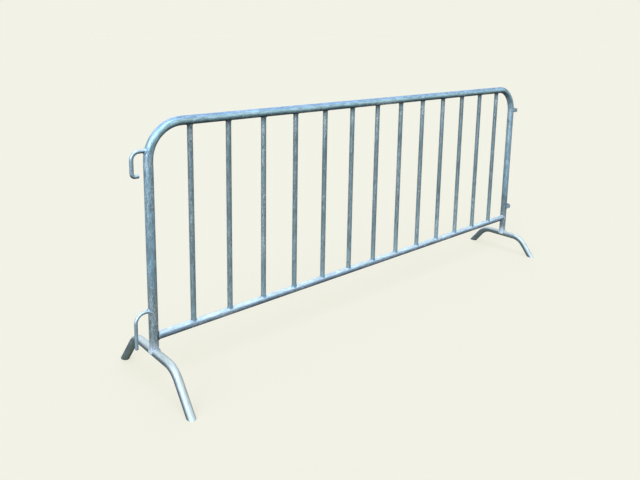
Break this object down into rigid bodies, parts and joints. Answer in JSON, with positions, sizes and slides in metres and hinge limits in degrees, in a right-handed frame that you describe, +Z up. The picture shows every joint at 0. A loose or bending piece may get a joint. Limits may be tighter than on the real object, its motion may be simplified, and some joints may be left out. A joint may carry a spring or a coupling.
{
  "type": "construction barrier",
  "caption": "Galvanised steel barrier panel: bent tube frame with upright bars on arched tube feet, with hooks and loops at its ends to link panels in a row.",
  "frame": {"origin": "on the ground, under the middle of the whole barrier's box", "axes": "+X along the panel from the hook end to the loop end, +Y across the feet, +Z up"},
  "size_m": [2.695, 0.6114, 1.1],
  "materials": {
    "galvanised_tube": "hot-dip galvanised tube, satin, with a faint spangle",
    "galvanised_link": "hot-dip galvanised rod of the hooks and strap of the loops, satin"
  },
  "bodies": {
    "root": {"frame_tube": "galvanised_tube", "bottom_rail": "galvanised_tube", "infill_bar_01": "galvanised_tube", "infill_bar_02": "galvanised_tube", "infill_bar_03": "galvanised_tube", "infill_bar_04": "galvanised_tube", "infill_bar_05": "galvanised_tube", "infill_bar_06": "galvanised_tube", "infill_bar_07": "galvanised_tube", "infill_bar_08": "galvanised_tube", "infill_bar_09": "galvanised_tube", "infill_bar_10": "galvanised_tube", "infill_bar_11": "galvanised_tube", "infill_bar_12": "galvanised_tube", "infill_bar_13": "galvanised_tube", "hook_end_foot": "galvanised_tube", "loop_end_foot": "galvanised_tube", "top_hook": "galvanised_link", "lower_hook": "galvanised_link", "top_loop": "galvanised_link", "lower_loop": "galvanised_link"}
  },
  "joints": []
}
